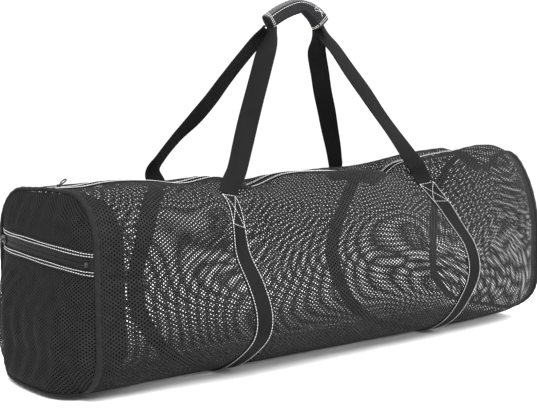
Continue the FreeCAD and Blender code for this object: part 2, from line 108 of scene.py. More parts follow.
def smooth(t):
    t = np.clip(t, 0, 1)
    return t * t * (3 - 2 * t)


def bell(value, middle, width):
    return np.exp(-((value - middle) / width) ** 2)


def unit(v):
    return v / np.maximum(np.linalg.norm(v, axis=-1, keepdims=True), 1e-12)


def catmull(a, b, c, d, f):
    """The smooth curve through a, b, c and d, at the share f of the way from b to c."""
    return 0.5 * (2 * b + (c - a) * f + (2 * a - 5 * b + 4 * c - d) * f ** 2
                  + (3 * b - a - 3 * c + d) * f ** 3)


def spline(points, count):
    """A smooth row of points through the given ones, evenly spread."""
    p = np.asarray(points, float)
    p = np.vstack([2 * p[0] - p[1], p, 2 * p[-1] - p[-2]])
    t = np.linspace(0, len(p) - 3, count)
    i = np.minimum(t.astype(int), len(p) - 4)
    return catmull(p[i], p[i + 1], p[i + 2], p[i + 3], (t - i)[:, None])


def rounded(points, per=4):
    """A closed outline through the given corners, softened."""
    p = np.asarray(points, float)
    p = np.vstack([p[-1], p, p[0], p[1]])
    steps = np.linspace(0, 1, per, endpoint=False)
    return np.array([catmull(*p[i - 1:i + 3], f) for i in range(1, len(p) - 2) for f in steps])


def along(path):
    """The path's tangents."""
    return unit(np.gradient(path, axis=0))


def lengths(path):
    """How far along its path each point lies."""
    return np.concatenate([[0], np.cumsum(np.linalg.norm(np.diff(path, axis=0), axis=1))])


# ---- the bag's surface

def section_point(x, s):
    """The undisturbed section at x: y, z and the outward direction, at s round from the zip."""
    share = smooth((HALF_LENGTH - 0.012 - np.abs(x)) / TAPER)
    wide = NARROW + (WIDE + 0.002 - NARROW) * share
    end_shoulder = np.where(x < 0, LEFT_SHOULDER, RIGHT_SHOULDER)
    shoulder = end_shoulder + (WIDE_SHOULDER - end_shoulder) * share
    to_end = smooth((np.abs(x) - END_ZONE) / (HALF_LENGTH - END_ZONE))
    rest_half = REST_HALF + np.where(x < 0, LEFT_REST, RIGHT_REST) * to_end
    foot = wide - rest_half
    flat = wide - shoulder
    side = TOP - shoulder - BOTTOM - foot
    total = flat + shoulder * math.pi / 2 + side + foot * math.pi / 2 + rest_half
    way = np.abs(s) * total / HALF_ROUND
    turn_a = np.clip((way - flat) / shoulder, 0, math.pi / 2)
    drop = np.clip(way - flat - shoulder * math.pi / 2, 0, side)
    turn_b = np.clip((way - flat - shoulder * math.pi / 2 - side) / foot, 0, math.pi / 2)
    rest = np.maximum(way - (total - rest_half), 0)
    y = np.minimum(way, flat) + shoulder * np.sin(turn_a) - foot * (1 - np.cos(turn_b)) - rest
    z = TOP - shoulder * (1 - np.cos(turn_a)) - drop - foot * np.sin(turn_b)
    turn = turn_a + turn_b
    sign = np.where(s < 0, -1.0, 1.0)
    return sign * y, z, sign * np.sin(turn), np.cos(turn)


def near_bands(x):
    """Closeness to the webbing bands, from 0 to 1."""
    return np.minimum(bell(x, BAND_X, 0.045) + bell(x, -BAND_X, 0.045), 1)


def make_bulges():
    """Places, sizes and heights of the soft bumps that a full bag shows between its seams."""
    rng = np.random.default_rng(7)
    count = 90
    x = rng.uniform(-0.53, 0.53, count)
    s = rng.uniform(-0.5, 0.5, count)
    size = rng.uniform(0.03, 0.085, count)
    height = rng.uniform(-2.5, 7.0, count) * MM
    return np.stack([x, s, size, height], 1)


def make_folds():
    """Short folds that run out from the stitched boxes and from the corners of the end seams."""
    rng = np.random.default_rng(21)
    folds = []
    for side in (-1, 1):
        for band in (-1, 1):
            for angle in np.radians([18, 48, 78, 102, 135, 162, 205, 335]):
                bend = angle + rng.uniform(-0.12, 0.12)
                start = rng.uniform(0.024, 0.032)
                reach = start + rng.uniform(0.05, 0.12)
                place = np.array([band * BAND_X, side * 0.150])
                out = np.array([math.cos(bend), side * math.sin(bend)])
                folds.append((*(place + start * out), *(place + reach * out),
                              rng.uniform(4.0, 7.0) * MM, -rng.uniform(1.8, 3.6) * MM))
    for side in (-1, 1):
        for x_end in (-1, 1):
            for s_mid in (0.10, 0.16, 0.20, 0.27, 0.34, 0.41, 0.47):
                s = side * (s_mid + rng.uniform(-0.02, 0.02))
                reach = rng.uniform(0.05, 0.14)
                x_from = x_end * (HALF_LENGTH - 0.016)
                folds.append((x_from, s, x_from - x_end * reach, s + rng.uniform(-0.035, 0.035),
                              rng.uniform(5.0, 9.0) * MM, -rng.uniform(1.5, 3.2) * MM))
    return folds


BULGES = make_bulges()
FOLDS = make_folds()


def fold_depth(x, s):
    depth = np.zeros_like(x)
    for x0, s0, x1, s1, width, height in FOLDS:
        ax, ay = x1 - x0, s1 - s0
        t = np.clip(((x - x0) * ax + (s - s0) * ay) / (ax * ax + ay * ay), 0, 1)
        d2 = (x - x0 - t * ax) ** 2 + (s - s0 - t * ay) ** 2
        taper = np.sin(math.pi * np.clip(0.12 + 0.88 * t, 0, 1))
        w2 = (width * (0.7 + 0.9 * t)) ** 2
        depth += height * taper * (np.exp(-d2 / w2) - 0.45 * np.exp(-d2 / (5 * w2)))
    return depth


def through(x, points):
    """A smooth curve of x through a few given places, level beyond the first and the last."""
    at, value = np.array(points, float).T
    slope = np.gradient(value, at)
    slope[0] = slope[-1] = 0
    x = np.clip(x, at[0], at[-1])
    i = np.clip(np.searchsorted(at, x, side="right") - 1, 0, len(at) - 2)
    span = at[i + 1] - at[i]
    f = (x - at[i]) / span
    return ((1 + 2 * f) * (1 - f) ** 2 * value[i] + f * (1 - f) ** 2 * span * slope[i]
            + f * f * (3 - 2 * f) * value[i + 1] - f * f * (1 - f) * span * slope[i + 1])


# Places along the bag, in metres, and heights above the CAD's top there, in millimetres.
ZIP_LEVELS = [(-0.515, 0), (-0.45, 7), (-0.37, 6), (-0.30, -2), (-0.22, 7), (-0.15, -15),
              (-0.07, 6), (0.03, 9), (0.12, 2), (0.195, -18), (0.26, 15), (0.33, 25), (0.40, 33),
              (0.46, 36), (0.53, 0)]
SHOULDER_LEVELS = [(-0.56, -2), (-0.50, -1), (-0.43, 3), (-0.35, 2), (-0.24, 9), (-0.09, 1),
                   (0.02, 11), (0.13, 22), (0.25, 30), (0.34, 42), (0.42, 56), (0.49, 66),
                   (0.56, 52)]


def zip_line(x):
    """How far the main zip lies above the level it has where its slider stops."""
    return through(x, ZIP_LEVELS) * MM


def rise(x):
    """How far the shoulders beside the zip stand above the CAD's top."""
    return through(x, SHOULDER_LEVELS) * MM


def lean(x, s):
    """How far the sides stand in or out at the bands: in where the handles pull, out below."""
    near = np.where(s < 0, 1.0, 0.6)
    way = np.abs(s)
    left = -0.043 * bell(way, 0.228, 0.080) * bell(x, -BAND_X, 0.14)
    twist = -0.50 * (x + BAND_X) * bell(x, -BAND_X, 0.055) * bell(way, 0.155, 0.07)
    low = 0.015 * bell(way, 0.37, 0.05) * bell(x, -BAND_X, 0.20)
    high = 0.011 * bell(way, 0.315, 0.05) - 0.008 * bell(way, 0.235, 0.05)
    return near * (left + twist + low + high * bell(x, BAND_X, 0.20))


def pinch(x, y, z):
    """The share of its width that the upper part loses where the handles draw it together."""
    near = 0.40 * smooth((z - 0.19) / 0.12) + 0.14 * smooth((z - 0.25) / 0.05)
    far = 0.12 * smooth((z - 0.19) / 0.12)
    return np.where(y < 0, near, far) * bell(x, BAND_X - 0.035, 0.115)


def dips(x, s):
    """Where the near shoulder sinks, so that the zip shows over it."""
    across = smooth((s + 0.16) / 0.08) * smooth((0.055 - s) / 0.06)
    return across * (0.013 * bell(x, -0.155, 0.06) + 0.006 * bell(x, -0.30, 0.05)
                     + 0.020 * bell(x, 0.195, 0.045))


def swell(x, s):
    """Displacement along the section's outward direction, without the fine folds."""
    out = np.zeros_like(x)
    for bx, bs, size, height in BULGES:
        out += height * np.exp(-((x - bx) ** 2 + (s - bs) ** 2) / size ** 2)
    quiet = 1 - 0.9 * near_bands(x)
    ends = smooth((HALF_LENGTH - 0.006 - np.abs(x)) / 0.07)
    zip_side = smooth((np.abs(s) - 0.05) / 0.10)
    under = 1 - smooth((np.abs(s) - 0.44) / 0.07)
    barrel = 0.004 * (1 - near_bands(x)) * ends
    end_round = -0.008 * smooth((x - 0.50) / 0.06) * zip_side
    return (quiet * ends * zip_side * under * out + lean(x, s) * ends * under
            + barrel * zip_side * under + end_round)


def puckers(x, s):
    """Small gathers beside the sewn lines, and the folds."""
    to_end = HALF_LENGTH - np.abs(x)
    to_band = np.abs(np.abs(x) - BAND_X) - BAND_HALF
    wave = np.sin(2 * math.pi * s / 0.034 + 3 * np.sin(s * 23) + 5 * x)
    gather = 1.3 * MM * wave * np.exp(-np.maximum(to_end - 0.012, 0) / 0.035)
    gather += 0.9 * MM * wave * np.exp(-np.maximum(to_band, 0) / 0.022)
    pull = np.sin(2 * math.pi * x / 0.029 + 2 * np.sin(x * 17))
    gather += 1.2 * MM * pull * np.exp(-np.maximum(np.abs(s) - 0.02, 0) / 0.03)
    clear = smooth(to_band / 0.012) * smooth((to_end - 0.004) / 0.02)
    clear = clear * smooth((np.abs(s) - 0.019) / 0.012)
    under = 1 - smooth((np.abs(s) - 0.45) / 0.06)
    return clear * (gather * under + fold_depth(x, s) * under)


def foot_bulge(y, z):
    """How far the left end's lower edge stands out beyond its seam's upper part."""
    across = np.where(y < 0, 1 - (y / 0.100) ** 4, 1 - 0.8 * (y / 0.160) ** 2)
    return FOOT_BULGE * np.maximum(across, 0) * (1 - smooth((z - 0.004) / 0.075))


def skin(x, s, lift=0.0, fine=False):
    """Points of the shell, raised outwards by lift, with its gathers and folds if fine."""
    x, s = np.broadcast_arrays(np.asarray(x, float), np.asarray(s, float))
    y, z, ny, nz = section_point(x, s)
    move = swell(x, s) + lift
    if fine:
        move = move + puckers(x, s)
    crown = 1 - smooth((np.abs(s) - 0.10) / 0.17)
    beside = bell(s, 0, 0.055 - 0.008 * smooth((x - 0.30) / 0.15))
    far = 0.014 * bell(x, 0.50, 0.09) * smooth(s / 0.08)
    height = (rise(x) - far) * crown * (1 - beside) + zip_line(x) * beside
    height = height - dips(x, s) * (1 - beside)
    corner = 0.006 * smooth((np.abs(x) - END_ZONE) / 0.20) * smooth((np.abs(s) - 0.40) / 0.08)
    y = (y + ny * move) * (1 - pinch(x, y, z))
    to_left = smooth((-END_ZONE - x) / (HALF_LENGTH - END_ZONE))
    y = y + to_left * FAR_SPREAD * smooth(y / 0.10)
    out = to_left * foot_bulge(y, z)
    return np.stack([x - out, y, z + nz * move + height + corner], -1)


def skin_normal(x, s):
    """The outward direction of the smooth shell."""
    step = 1.5 * MM
    return unit(np.cross(skin(x + step, s) - skin(x - step, s), skin(x, s + step) - skin(x, s - step)))


# ---- meshes

def new_mesh(name, points, faces, uv):
    """An object from its points, quads and UVs."""
    mesh = bpy.data.meshes.new(name)
    faces = np.asarray(faces, np.int32)
    count, size = faces.shape
    mesh.vertices.add(len(points))
    mesh.vertices.foreach_set("co", np.asarray(points, np.float32).ravel())
    mesh.loops.add(count * size)
    mesh.loops.foreach_set("vertex_index", faces.ravel())
    mesh.polygons.add(count)
    mesh.polygons.foreach_set("loop_start", np.arange(count, dtype=np.int32) * size)
    layer = mesh.uv_layers.new(name="UVMap")
    layer.data.foreach_set("uv", np.asarray(uv, np.float32)[faces.ravel()].ravel())
    mesh.update(calc_edges=True)
    mesh.polygons.foreach_set("use_smooth", np.ones(count, bool))
    item = bpy.data.objects.new(name, mesh)
    bpy.context.scene.collection.objects.link(item)
    return item


def finish_piece(item, material, slot, body, nodes=()):
    item.data.materials.clear()
    item.data.materials.append(material)
    if body:
        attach(item, body)
    if nodes:
        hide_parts(*nodes)
    return item


def piece(name, shape, material, slot, nodes=(), body="bag"):
    """A visible piece from its points, quads and UVs."""
    return finish_piece(new_mesh(name, *shape), material, slot, body, nodes)


def gather(parts):
    """Several (points, faces, uv) as one."""
    points, faces, uvs, start = [], [], [], 0
    for p, f, t in parts:
        points.append(p)
        faces.append(np.asarray(f) + start)
        uvs.append(t)
        start += len(p)
    return np.vstack(points), np.vstack(faces), np.vstack(uvs)


def grid_faces(rows, columns, closed=False):
    i = np.arange(rows - 1)[:, None]
    j = np.arange(columns if closed else columns - 1)[None, :]
    k = (j + 1) % columns
    return np.stack([i * columns + j, i * columns + k, (i + 1) * columns + k,
                     (i + 1) * columns + j], -1).reshape(-1, 4)


def end_caps(count, size, flip_first=True):
    """Quads that close both ends of a tube made of count rings of size points."""
    caps = []
    for row, flip in ((0, flip_first), (count - 1, not flip_first)):
        for j in range(size // 2 - 1):
            quad = [j, j + 1, size - 2 - j, size - 1 - j]
            caps.append([row * size + v for v in (quad[::-1] if flip else quad)])
    return np.array(caps)


def loop_faces(count, size):
    """Quads of a tube whose last ring joins its first."""
    j = np.arange(size)
    k = (j + 1) % size
    last = (count - 1) * size
    return np.vstack([grid_faces(count, size, closed=True),
                      np.stack([last + j, last + k, k, j], -1)])


def ribbon(path, side, normal, width, thick, bend=0.0, columns=8, crown=0.0):
    """A flat strip swept along a path: points, faces and UVs in metres.

    bend is the angle through which its section curls, crown how far its middle stands up.
    """
    count = len(path)
    bend = np.broadcast_to(np.asarray(bend, float), (count,))[:, None]
    rim = thick / 2
    inner = np.linspace(-1, 1, columns + 1) * (width / 2 - rim)
    edge = np.array([-width / 2, -width / 2 + 0.3 * rim])
    q = np.broadcast_to(np.concatenate([edge, inner, -edge[::-1]]), (count, columns + 5))
    inward = np.clip((np.abs(q) - (width / 2 - rim)) / rim, 0, 1)
    half = rim * np.sqrt(np.maximum(1 - inward ** 2, 0.01))
    radius = width / np.where(np.abs(bend) < 1e-4, 1e-4, bend)
    angle = q / radius
    across = radius * np.sin(angle)
    up = radius * (np.cos(angle) - 1) + crown * (1 - (2 * q / width) ** 2)

    def shell(sign):
        a = across + sign * half * np.sin(angle)
        n = up + sign * half * np.cos(angle)
        return path[:, None] + side[:, None] * a[..., None] + normal[:, None] * n[..., None]
    ring = np.concatenate([shell(1), shell(-1)[:, ::-1]], 1)
    size = ring.shape[1]
    faces = np.vstack([grid_faces(count, size, closed=True), end_caps(count, size, False)])
    u = np.concatenate([q, q[:, ::-1]], 1)
    uv = np.stack(np.broadcast_arrays(u, lengths(path)[:, None]), -1).reshape(-1, 2)
    return ring.reshape(-1, 3), faces, uv


def tube(path, side, normal, radius_side, radius_normal, sides):
    """An elliptical tube along a closed path."""
    count = len(path)
    angle = np.linspace(0, 2 * math.pi, sides, endpoint=False)
    ring = (path[:, None] + side[:, None] * np.cos(angle)[None, :, None] * radius_side
            + normal[:, None] * np.sin(angle)[None, :, None] * radius_normal)
    uv = np.stack(np.broadcast_arrays(angle[None] * radius_side, lengths(path)[:, None]), -1)
    return ring.reshape(-1, 3), loop_faces(count, sides), uv.reshape(-1, 2)


def resample(path, normal, pitch):
    """Points, tangents and normals at equal steps along a path."""
    length = lengths(path)
    count = max(int(length[-1] / pitch), 2)
    at = (np.arange(count) + 0.5) * length[-1] / count

    def sample(values, shift=0.0):
        return np.stack([np.interp(at + shift, length, values[:, k]) for k in range(3)], -1)
    return sample(path), unit(sample(path, pitch / 3) - sample(path, -pitch / 3)), unit(sample(normal))


def stitch_row(path, normal, pitch=STITCH_PITCH, length=STITCH_LENGTH, radius=STITCH_RADIUS):
    """Thread that shows as short rounded stitches, each dipping into the fabric at its ends."""
    place, ahead, up = resample(path, normal, pitch)
    side = unit(np.cross(ahead, up))
    count = len(place)
    slant = np.where(np.arange(count) % 2 == 0, 0.07, -0.05)[:, None]
    ahead = unit(ahead + slant * side)
    side = unit(np.cross(ahead, up))
    steps = np.array([-0.5, -0.42, -0.22, 0.22, 0.42, 0.5])
    size = np.array([0.35, 0.75, 1.0, 1.0, 0.75, 0.35])
    sink = np.array([-0.8, -0.35, 0.0, 0.0, -0.35, -0.8]) * radius
    sides = 6
    angle = np.linspace(0, 2 * math.pi, sides, endpoint=False)
    ring = (place[:, None, None]
            + ahead[:, None, None] * (steps * length)[None, :, None, None]
            + up[:, None, None] * (sink[:, None] + radius * size[:, None] * np.sin(angle))[None, ..., None]
            + side[:, None, None] * (radius * size[:, None] * np.cos(angle))[None, ..., None])
    per = len(steps) * sides
    one = np.vstack([grid_faces(len(steps), sides, closed=True),
                     [[3, 2, 1, 0], [5, 4, 3, 0]],
                     [[per - sides + v for v in q] for q in ([0, 1, 2, 3], [0, 3, 4, 5])]])
    faces = (one[None] + (np.arange(count) * per)[:, None, None]).reshape(-1, 4)
    uv = np.zeros((count * per, 2))
    uv[:, 1] = np.repeat(np.arange(count) * pitch, per)
    return ring.reshape(-1, 3), faces, uv


def knit(name, surface, a_range, b_range, keep, flip, nodes, cell=SIDE_CELL):
    """A piece of open knitted mesh: staggered six-sided holes in surface(a, b, lift)."""
    long, row = cell
    rows = np.arange(math.ceil(b_range[0] / row), math.floor(b_range[1] / row) + 1)
    cols = np.arange(math.floor(a_range[0] / long), math.ceil(a_range[1] / long) + 1)
    j, i = np.meshgrid(rows, cols, indexing="ij")
    centre_a = (i + 0.5 * (j % 2)) * long
    centre_b = j * row
    inside = keep(centre_a, centre_b)
    centre = np.stack([centre_a[inside], centre_b[inside]], -1)
    half = long / 2
    reach = (half ** 2 + row ** 2) / 2
    corner = (reach - row ** 2) / half
    tip = reach / half
    shape = np.array([(tip, 0), (corner, row), (-corner, row), (-tip, 0),
                      (-corner, -row), (corner, -row)])
    outer = centre[:, None] + shape[None]
    key = np.round(outer / (0.05 * MM)).astype(np.int64)
    flat = (key[..., 0] * 1000003 + key[..., 1]).ravel()
    _, first, inverse = np.unique(flat, return_index=True, return_inverse=True)
    shared = outer.reshape(-1, 2)[first]
    inner = (centre[:, None] + HOLE * shape[None]).reshape(-1, 2)
    points = np.vstack([surface(shared[:, 0], shared[:, 1], 0.35 * MM),
                        surface(inner[:, 0], inner[:, 1], -0.15 * MM)])
    out = inverse.reshape(-1, 6)
    ins = len(shared) + np.arange(len(inner)).reshape(-1, 6)
    k = np.arange(6)
    m = (k + 1) % 6
    faces = np.stack([out[:, k], out[:, m], ins[:, m], ins[:, k]], -1).reshape(-1, 4)
    if flip:
        faces = faces[:, ::-1]
    piece(name, (points, faces, np.vstack([shared, inner])), MESH, "mesh_fabric", nodes)


# ---- materials

class Nodes:
    """A material and its node tree. Inputs that are given sockets are linked, others are set."""

    def __init__(self, name, colour, rough, sheen=0.0, metallic=0.0, specular=0.5):
        self.material = bpy.data.materials.new(name)
        self.material.use_nodes = True
        self.tree = self.material.node_tree
        self.shader = self.tree.nodes["Principled BSDF"]
        self.feed(self.shader, {"Base Color": (*colour, 1), "Roughness": rough,
                                "Metallic": metallic, "Specular IOR Level": specular})
        if sheen:
            self.feed(self.shader, {"Sheen Weight": sheen, "Sheen Roughness": 0.45,
                                    "Sheen Tint": (1, 1, 1, 1)})

    def feed(self, node, values):
        for key, value in values.items():
            if isinstance(value, bpy.types.NodeSocket):
                self.tree.links.new(value, node.inputs[key])
            else:
                node.inputs[key].default_value = value

    def add(self, kind, output, values, **props):
        node = self.tree.nodes.new("ShaderNode" + kind)
        for key, value in props.items():
            setattr(node, key, value)
        self.feed(node, values)
        return node.outputs[output]

    def coords(self, which, scale=(1, 1, 1), turn=0.0):
        place = self.add("TexCoord", which, {})
        return self.add("Mapping", "Vector", {"Vector": place, "Scale": scale,
                                              "Rotation": (0, 0, turn)})

    def noise(self, vector, scale, detail, rough=0.5):
        return self.add("TexNoise", "Fac", {"Vector": vector, "Scale": scale, "Detail": detail,
                                            "Roughness": rough})

    def waves(self, vector, scale, distortion, direction):
        values = {"Vector": vector, "Scale": scale, "Distortion": distortion, "Detail": 1.0}
        return self.add("TexWave", "Fac", values, wave_type="BANDS", bands_direction=direction)

    def maths(self, kind, a, b):
        return self.add("Math", 0, {0: a, 1: b}, operation=kind)

    def colour(self, value, stops):
        """Colours by a value, between two (place, colour) stops."""
        ramp = self.tree.nodes.new("ShaderNodeValToRGB")
        for point, (place, shade) in zip(ramp.color_ramp.elements, stops):
            point.position = place
            point.color = (*shade, 1)
        self.feed(ramp, {"Fac": value})
        self.feed(self.shader, {"Base Color": ramp.outputs["Color"]})

    def bump(self, height, strength, distance):
        values = {"Height": height, "Strength": strength, "Distance": distance}
        self.feed(self.shader, {"Normal": self.add("Bump", "Normal", values)})

    def cloth(self, weave, share, clouds, detail, stops, bump):
        """Colours the share of the weave and the rest of soft clouds, with the weave as bumps."""
        cloud = self.noise(self.coords("UV", clouds), 1.0, detail)
        shade = self.maths("ADD", self.maths("MULTIPLY", weave, share),
                           self.maths("MULTIPLY", cloud, 1 - share))
        self.colour(shade, stops)
        self.bump(weave, *bump)
        return self.material


PER_MM = (1000, 1000, 1)               # turns UVs in metres into millimetres


def mesh_material():
    m = Nodes("mesh_fabric", (0.015, 0.015, 0.016), 0.66, specular=0.08)
    yarn = m.waves(m.coords("UV", PER_MM), 0.62, 1.2, "DIAGONAL")
    stops = [(0.2, (0.0045, 0.0045, 0.0048)), (0.8, (0.016, 0.016, 0.017))]
    return m.cloth(yarn, 0.35, (60, 60, 1), 3, stops, (0.5, 0.25 * MM))


def webbing_material():
    """Ribs along the strap, picks across it and a faint twill."""
    m = Nodes("webbing", (0.006, 0.006, 0.0065), 0.74, specular=0.06)
    uv = m.coords("UV", PER_MM)
    ribs = m.waves(uv, 0.19, 0.0, "X")
    picks = m.waves(uv, 0.33, 0.0, "Y")
    twill = m.waves(m.coords("UV", PER_MM, math.radians(38)), 0.42, 0.6, "X")
    weave = m.maths("ADD", m.maths("MULTIPLY", ribs, 0.35),
                    m.maths("ADD", m.maths("MULTIPLY", picks, 0.25), m.maths("MULTIPLY", twill, 0.4)))
    stops = [(0.25, (0.0028, 0.0028, 0.003)), (0.8, (0.0085, 0.0085, 0.009))]
    return m.cloth(weave, 0.45, (25, 12, 1), 4, stops, (0.55, 0.35 * MM))


def woven_material(name, low, high, scale):
    """Plain weave: two crossing thread directions."""
    m = Nodes(name, low, 0.75, specular=0.09)
    uv = m.coords("UV", PER_MM)
    weave = m.maths("MULTIPLY", m.waves(uv, scale, 0.3, "X"), m.waves(uv, scale * 1.15, 0.3, "Y"))
    return m.cloth(weave, 0.5, (40, 40, 1), 3, [(0.15, low), (0.75, high)], (0.5, 0.25 * MM))


def ribbed_material(name, low, high, scale=0.28):
    """Grosgrain: ribs across the tape's length."""
    m = Nodes(name, low, 0.6, specular=0.12)
    ribs = m.waves(m.coords("UV", PER_MM), scale, 0.1, "Y")
    return m.cloth(ribs, 0.4, (60, 60, 1), 3, [(0.2, low), (0.8, high)], (0.6, 0.3 * MM))


def speckled_material(name, colour, rough, noise, low, high, bump=None, **look):
    """Fine specks: thread, plastic and pile."""
    m = Nodes(name, colour, rough, **look)
    specks = m.noise(m.coords("Object"), *noise)
    m.colour(specks, [(0.3, low), (0.7, high)])
    if bump:
        m.bump(specks, *bump)
    return m.material


def thread_material(name, low, high):
    return speckled_material(name, high, 0.5, (900.0, 2), low, high, (0.4, 0.1 * MM), specular=0.2)


def metal_material():
    """Black enamel with a soft gloss and fine scuffs."""
    m = Nodes("dark_metal", (0.02, 0.02, 0.021), 0.34, metallic=0.35, specular=0.35)
    place = m.coords("Object")
    wear = m.noise(place, 420.0, 5, 0.65)
    m.colour(wear, [(0.45, (0.012, 0.012, 0.013)), (0.75, (0.085, 0.083, 0.08))])
    m.bump(m.noise(place, 900.0, 3), 0.25, 0.08 * MM)
    return m.material


MESH = mesh_material()
WEBBING = webbing_material()
LINER = woven_material("liner_fabric", (0.002, 0.002, 0.0022), (0.006, 0.006, 0.0063), 0.5)
GRIP = woven_material("grip_fabric", (0.006, 0.0055, 0.0063), (0.016, 0.015, 0.0165), 0.45)
HEM = woven_material("hem_fabric", (0.0035, 0.0035, 0.0037), (0.010, 0.010, 0.0103), 0.4)
BINDING = ribbed_material("binding_tape", (0.003, 0.003, 0.0032), (0.009, 0.009, 0.0094))
TAPE = ribbed_material("zip_tape", (0.003, 0.003, 0.0031), (0.008, 0.008, 0.0082), 0.45)
THREAD = thread_material("thread", (0.34, 0.34, 0.335), (0.60, 0.60, 0.59))
DARK_THREAD = thread_material("dark_thread", (0.004, 0.004, 0.004), (0.010, 0.010, 0.010))
COIL = speckled_material("zip_coil", (0.006, 0.006, 0.0065), 0.33, (400.0, 2),
                         (0.004, 0.004, 0.0045), (0.010, 0.010, 0.0105), specular=0.3)
METAL = metal_material()
PILE = speckled_material("loop_pile", (0.06, 0.058, 0.06), 0.95, (1400.0, 6, 0.8),
                         (0.025, 0.024, 0.025), (0.095, 0.092, 0.095), (1.0, 0.8 * MM),
                         sheen=0.25, specular=0.1)


# ---- the mesh shell

def find_top(sign, x):
    """The way round at which the shell is at the height where the handle legs leave."""
    s = sign * np.linspace(0.05, 0.3, 800)
    return float(s[np.argmin(np.abs(skin(x, s)[:, 2] - BAND_TOP))])


def find_seam():
    """The way round at which the flat bottom begins."""
    s = np.linspace(0.4, HALF_ROUND, 400)
    return float(s[np.argmax(section_point(np.zeros_like(s), s)[0] < FLOOR_HALF)])


BANDS = (("left", -BAND_X), ("right", BAND_X))
BAND_ENDS = {word: (find_top(-1, x), find_top(1, x)) for word, x in BANDS}     # near and far
SEAM_S = find_seam()
BAND_GAP = BAND_HALF - 0.006           # half the gap in the mesh under a band
MESH_END = HALF_LENGTH - 0.002


def shell_piece(name, low, high, side, nodes=()):
    """Knitted mesh on one side of the bag, left out only where a band covers it."""
    s_low, s_high = 0.011, SEAM_S
    left_end, right_end = (abs(BAND_ENDS[word][0 if side < 0 else 1]) for word, _ in BANDS)

    def keep(a, b):
        band_end = np.where(a < 0, left_end, right_end)
        bare = (np.abs(np.abs(a) - BAND_X) > BAND_GAP) | (b < band_end + 0.008)
        return bare & (a > low) & (a < high) & (b > s_low) & (b < s_high)

    def surface(a, b, lift):
        return skin(a, side * b, lift, fine=True)
    knit(name, surface, (low, high), (s_low, s_high), keep, side > 0, nodes)


def bottom_piece():
    """The flat bottom, from one low seam to the other."""
    def surface(a, b, lift):
        s = HALF_ROUND - (HALF_ROUND - SEAM_S) * np.abs(b / FLOOR_HALF)
        return skin(a, np.where(b < 0, -1, 1) * s, lift)

    def keep(a, b):
        away = np.abs(np.abs(a) - BAND_X) > BAND_GAP
        return (np.abs(a) < MESH_END) & (np.abs(b) < FLOOR_HALF) & away
    knit("bottom_mesh", surface, (-MESH_END, MESH_END), (-FLOOR_HALF, FLOOR_HALF), keep, True,
         ("bottom_mesh_panel",))


for side, word in ((-1, "front"), (1, "back")):
    inner = BAND_X + BAND_GAP
    shell_piece(f"{word}_mesh_left", -MESH_END, -inner, side, (f"{word}_mesh_panel",))
    shell_piece(f"{word}_mesh_middle", -inner, inner, side)
    shell_piece(f"{word}_mesh_right", inner, MESH_END, side)
bottom_piece()


# ---- the two ends

LEFT_BULGE, RIGHT_BULGE, LOW_BULGE = 0.032, 0.040, 0.014


def end_ring(side, count=240, inset=0.0):
    """The seam round an end, from the top down the near side and back up, and each point's s."""
    s = np.linspace(0, -2 * HALF_ROUND, count, endpoint=False)
    s = np.where(s < -HALF_ROUND, s + 2 * HALF_ROUND, s)
    return skin(side * HALF_LENGTH, s, -inset), s


def seam_clearance(ring, a, b):
    """Distances of points, given in Y and Z, from the seam round an end."""
    a, b = np.broadcast_arrays(np.asarray(a, float), np.asarray(b, float))
    y, z = a.ravel(), b.ravel()
    nearest = np.full(y.shape, 1.0)
    for (_, y0, z0), (_, y1, z1) in zip(ring, np.roll(ring, -1, axis=0)):
        dy, dz = y1 - y0, z1 - z0
        share = np.clip(((y - y0) * dy + (z - z0) * dz) / (dy * dy + dz * dz + 1e-12), 0, 1)
        nearest = np.minimum(nearest, np.hypot(y - y0 - share * dy, z - z0 - share * dz))
    return nearest.reshape(a.shape)


def end_surface(side):
    """The domed end as a function of Y, Z and a lift outwards."""
    ring = end_ring(side, 96)[0]
    high = ring[:, 2].max()
    bulge = RIGHT_BULGE if side > 0 else LEFT_BULGE

    def surface(a, b, lift):
        inside = seam_clearance(ring, a, b)
        level = 1 - (1 - np.clip(inside / DOME_RUN, 0, 1)) ** 2.2
        crease = 1.4 * MM * np.sin(2 * math.pi * (a * 0.9 + b * 0.5) / 0.037 + 3 * np.sin(b * 31))
        crease = crease * smooth(inside / 0.03)
        dome = bulge * level
        if side < 0:
            from_zip = b - POCKET_Z - a * POCKET_FALL
            near_zip = bell(from_zip, 0, 0.05)
            across = 1 - np.clip(np.abs(a) / NARROW, 0, 1) ** 2.5
            dome = dome * (1 - near_zip) + bulge * across * near_zip
            dome = dome + LOW_BULGE * level * smooth((-0.03 - from_zip) / 0.08)
            crease = crease * smooth((np.abs(from_zip) - 0.02) / 0.03)
            drape = np.sin(2 * math.pi * a / 0.021 + 2 * np.sin(a * 60))
            crease = crease + 1.1 * MM * drape * bell(b, high - 0.035, 0.035) * bell(a, 0.08, 0.06)
            dome = dome + foot_bulge(a, b)
        return np.stack([side * (HALF_LENGTH + dome + crease + lift), a, b], -1)
    return surface


def inside_outline(ring, a, b):
    """Which points lie inside a closed outline in Y and Z."""
    y, z = ring[:, 1], ring[:, 2]
    y2, z2 = np.roll(y, -1), np.roll(z, -1)
    inside = np.zeros(np.shape(a), bool)
    for y0, z0, y1, z1 in zip(y, z, y2, z2):
        crosses = (z0 > b) != (z1 > b)
        with np.errstate(divide="ignore", invalid="ignore"):
            at = (y1 - y0) * (b - z0) / (z1 - z0) + y0
        inside ^= crosses & (a < at)
    return inside


def pocket_arch(a):
    """How far the pocket zip curves up between the places where its slider stops."""
    return 5.0 * MM * np.maximum(1 - (a / POCKET_STOP) ** 2, 0)


